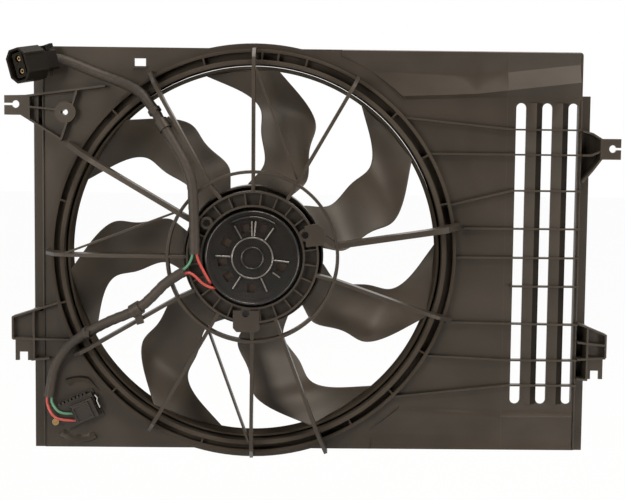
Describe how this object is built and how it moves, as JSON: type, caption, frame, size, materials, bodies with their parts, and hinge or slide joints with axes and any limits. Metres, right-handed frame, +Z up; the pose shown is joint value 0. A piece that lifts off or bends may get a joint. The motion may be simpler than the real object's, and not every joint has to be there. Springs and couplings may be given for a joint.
{
  "type": "radiator cooling fan",
  "caption": "Electric radiator cooling fan: moulded shroud with vent slots and hanger brackets, banded curved-blade fan, finned motor mount, motor, wiring looms and resistor.",
  "frame": {"origin": "on the fan axis, in the plane of the sealing rim that meets the radiator", "axes": "+X to the right as the motor side is seen, along the shroud's long side; +Y along the fan axis towards the radiator; +Z up"},
  "size_m": [0.7108, 0.1035, 0.484],
  "materials": {
    "shroud_plastic": "moulded, fine grain",
    "fan_plastic": "moulded, smooth",
    "motor_black": "gloss black",
    "steel": "bright",
    "copper": "enamelled copper",
    "magnet": "ground ferrite",
    "card": "phenolic board",
    "carbon": "pressed carbon",
    "loom_sleeve": "corrugated and taped",
    "red_wire": "smooth insulation",
    "green_wire": "smooth insulation",
    "connector_plastic": "moulded, satin",
    "brass": "bright",
    "rubber": "matt",
    "ceramic": "fired ceramic"
  },
  "bodies": {
    "root": {"brush_card": "card", "brush_springs": "steel", "brushes": "carbon", "cable_ties": "loom_sleeve", "connector_carrier": "shroud_plastic", "connector_housing": "connector_plastic", "connector_seal": "rubber", "connector_terminals": "brass", "fan_barrel": "shroud_plastic", "field_magnets": "magnet", "front_bearing": "steel", "green_link_wire": "green_wire", "lower_left_foot": "shroud_plastic", "lower_loom": "loom_sleeve", "lower_loom_clip": "shroud_plastic", "lower_right_foot": "shroud_plastic", "motor_can": "motor_black", "motor_end_cap": "motor_black", "motor_mount_ring": "shroud_plastic", "motor_screws": "motor_black", "perimeter_rim": "shroud_plastic", "rear_bearing": "steel", "red_return_wire": "red_wire", "red_supply_wire": "red_wire", "resistor_base": "connector_plastic", "resistor_clip": "steel", "resistor_core": "ceramic", "resistor_green_wire": "green_wire", "resistor_plug": "connector_plastic", "resistor_red_wire": "red_wire", "resistor_screw": "brass", "ring_spokes": "shroud_plastic", "shroud_panel": "shroud_plastic", "support_braces": "shroud_plastic", "support_fins": "shroud_plastic", "support_hoop": "shroud_plastic", "upper_left_bracket": "shroud_plastic", "upper_loom": "loom_sleeve", "upper_loom_clip": "shroud_plastic", "upper_right_bracket": "shroud_plastic", "vent_grille": "shroud_plastic", "wire_grommet": "rubber"},
    "fan_rotor": {"fan_hub": "fan_plastic", "hub_skirt": "fan_plastic", "fan_ring": "fan_plastic", "hub_insert": "steel", "fan_washer": "steel", "fan_nut": "steel", "motor_shaft": "steel", "armature_core": "steel", "armature_windings": "copper", "commutator": "copper", "fan_blade_1": "fan_plastic", "fan_blade_2": "fan_plastic", "fan_blade_3": "fan_plastic", "fan_blade_4": "fan_plastic", "fan_blade_5": "fan_plastic", "fan_blade_6": "fan_plastic", "fan_blade_7": "fan_plastic"},
    "latch_lever": {"connector_latch": "connector_plastic"}
  },
  "joints": [
    {"name": "fan_spin", "type": "hinge", "parent": "root", "child": "fan_rotor", "pos_m": [0, 0, 0], "axis": [0, 1, 0], "continuous": true},
    {"name": "latch_press", "type": "hinge", "parent": "root", "child": "latch_lever", "pos_m": [-0.24197, -0.04971, 0.23183], "axis": [-0.7912, 0.5736, -0.212], "range_deg": [0, 8], "stiffness_Nm_per_rad": 0.05}
  ]
}
